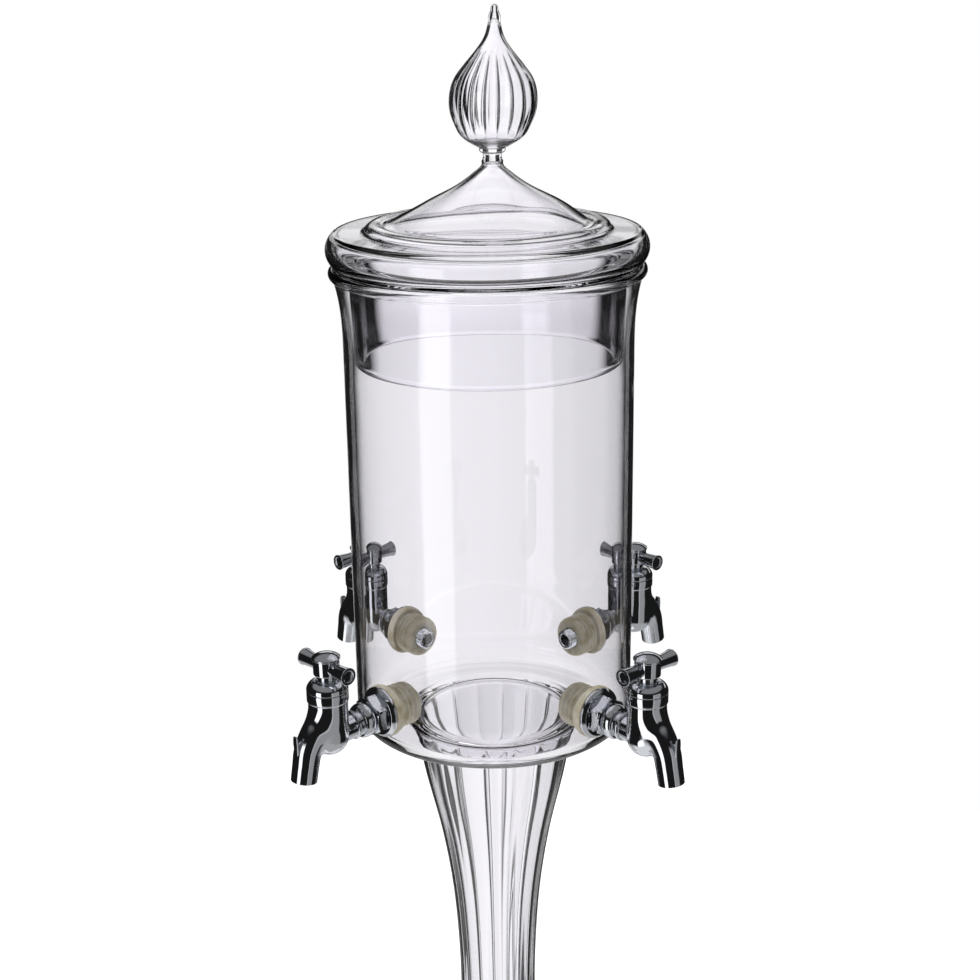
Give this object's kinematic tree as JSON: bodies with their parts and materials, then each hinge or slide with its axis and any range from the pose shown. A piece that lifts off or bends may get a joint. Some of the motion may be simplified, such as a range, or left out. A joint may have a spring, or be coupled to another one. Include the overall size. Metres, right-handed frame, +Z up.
{
  "type": "absinthe fountain",
  "caption": "Clear blown-glass absinthe fountain: a lidded cylinder on a ribbed stem and round foot, with quarter-turn chromed taps on its diagonals for dripping iced water.",
  "frame": {"origin": "centre of the ring that the foot stands on", "axes": "+Z up along the vessel's axis, -Y towards the front, between the two front taps"},
  "size_m": [0.1712, 0.1712, 0.5707],
  "materials": {
    "clear_glass": "clear blown glass",
    "chrome": "polished chrome on cast brass",
    "silicone": "translucent beige silicone",
    "plug_brass": "turned brass",
    "thrust_ring": "white low-friction plastic",
    "seal_rubber": "black rubber"
  },
  "bodies": {
    "fountain": {"glass_vessel": "clear_glass", "ribbed_stem": "clear_glass", "foot": "clear_glass", "front_left_tap_body": "chrome", "front_left_lock_nut": "chrome", "front_left_flange_washer": "chrome", "front_left_grommet": "silicone", "front_left_bonnet": "chrome", "front_left_thrust_washer": "thrust_ring", "front_right_tap_body": "chrome", "front_right_lock_nut": "chrome", "front_right_flange_washer": "chrome", "front_right_grommet": "silicone", "front_right_bonnet": "chrome", "front_right_thrust_washer": "thrust_ring", "rear_right_tap_body": "chrome", "rear_right_lock_nut": "chrome", "rear_right_flange_washer": "chrome", "rear_right_grommet": "silicone", "rear_right_bonnet": "chrome", "rear_right_thrust_washer": "thrust_ring", "rear_left_tap_body": "chrome", "rear_left_lock_nut": "chrome", "rear_left_flange_washer": "chrome", "rear_left_grommet": "silicone", "rear_left_bonnet": "chrome", "rear_left_thrust_washer": "thrust_ring"},
    "lid": {"lid": "clear_glass", "finial": "clear_glass"},
    "front_left_valve": {"front_left_handle": "chrome", "front_left_handle_cap": "chrome", "front_left_valve_plug": "plug_brass", "front_left_stem_ring": "seal_rubber"},
    "front_right_valve": {"front_right_handle": "chrome", "front_right_handle_cap": "chrome", "front_right_valve_plug": "plug_brass", "front_right_stem_ring": "seal_rubber"},
    "rear_right_valve": {"rear_right_handle": "chrome", "rear_right_handle_cap": "chrome", "rear_right_valve_plug": "plug_brass", "rear_right_stem_ring": "seal_rubber"},
    "rear_left_valve": {"rear_left_handle": "chrome", "rear_left_handle_cap": "chrome", "rear_left_valve_plug": "plug_brass", "rear_left_stem_ring": "seal_rubber"}
  },
  "joints": [
    {"name": "lid_lift", "type": "slide", "parent": "fountain", "child": "lid", "axis": [0, 0, 1], "range_m": [0, 0.12]},
    {"name": "front_left_turn", "type": "hinge", "parent": "fountain", "child": "front_left_valve", "pos_m": [-0.0693, -0.0693, 0.2982], "axis": [0, 0, 1], "range_deg": [0, 90]},
    {"name": "front_right_turn", "type": "hinge", "parent": "fountain", "child": "front_right_valve", "pos_m": [0.0693, -0.0693, 0.2982], "axis": [0, 0, 1], "range_deg": [0, 90]},
    {"name": "rear_right_turn", "type": "hinge", "parent": "fountain", "child": "rear_right_valve", "pos_m": [0.0693, 0.0693, 0.2982], "axis": [0, 0, 1], "range_deg": [0, 90]},
    {"name": "rear_left_turn", "type": "hinge", "parent": "fountain", "child": "rear_left_valve", "pos_m": [-0.0693, 0.0693, 0.2982], "axis": [0, 0, 1], "range_deg": [0, 90]}
  ]
}
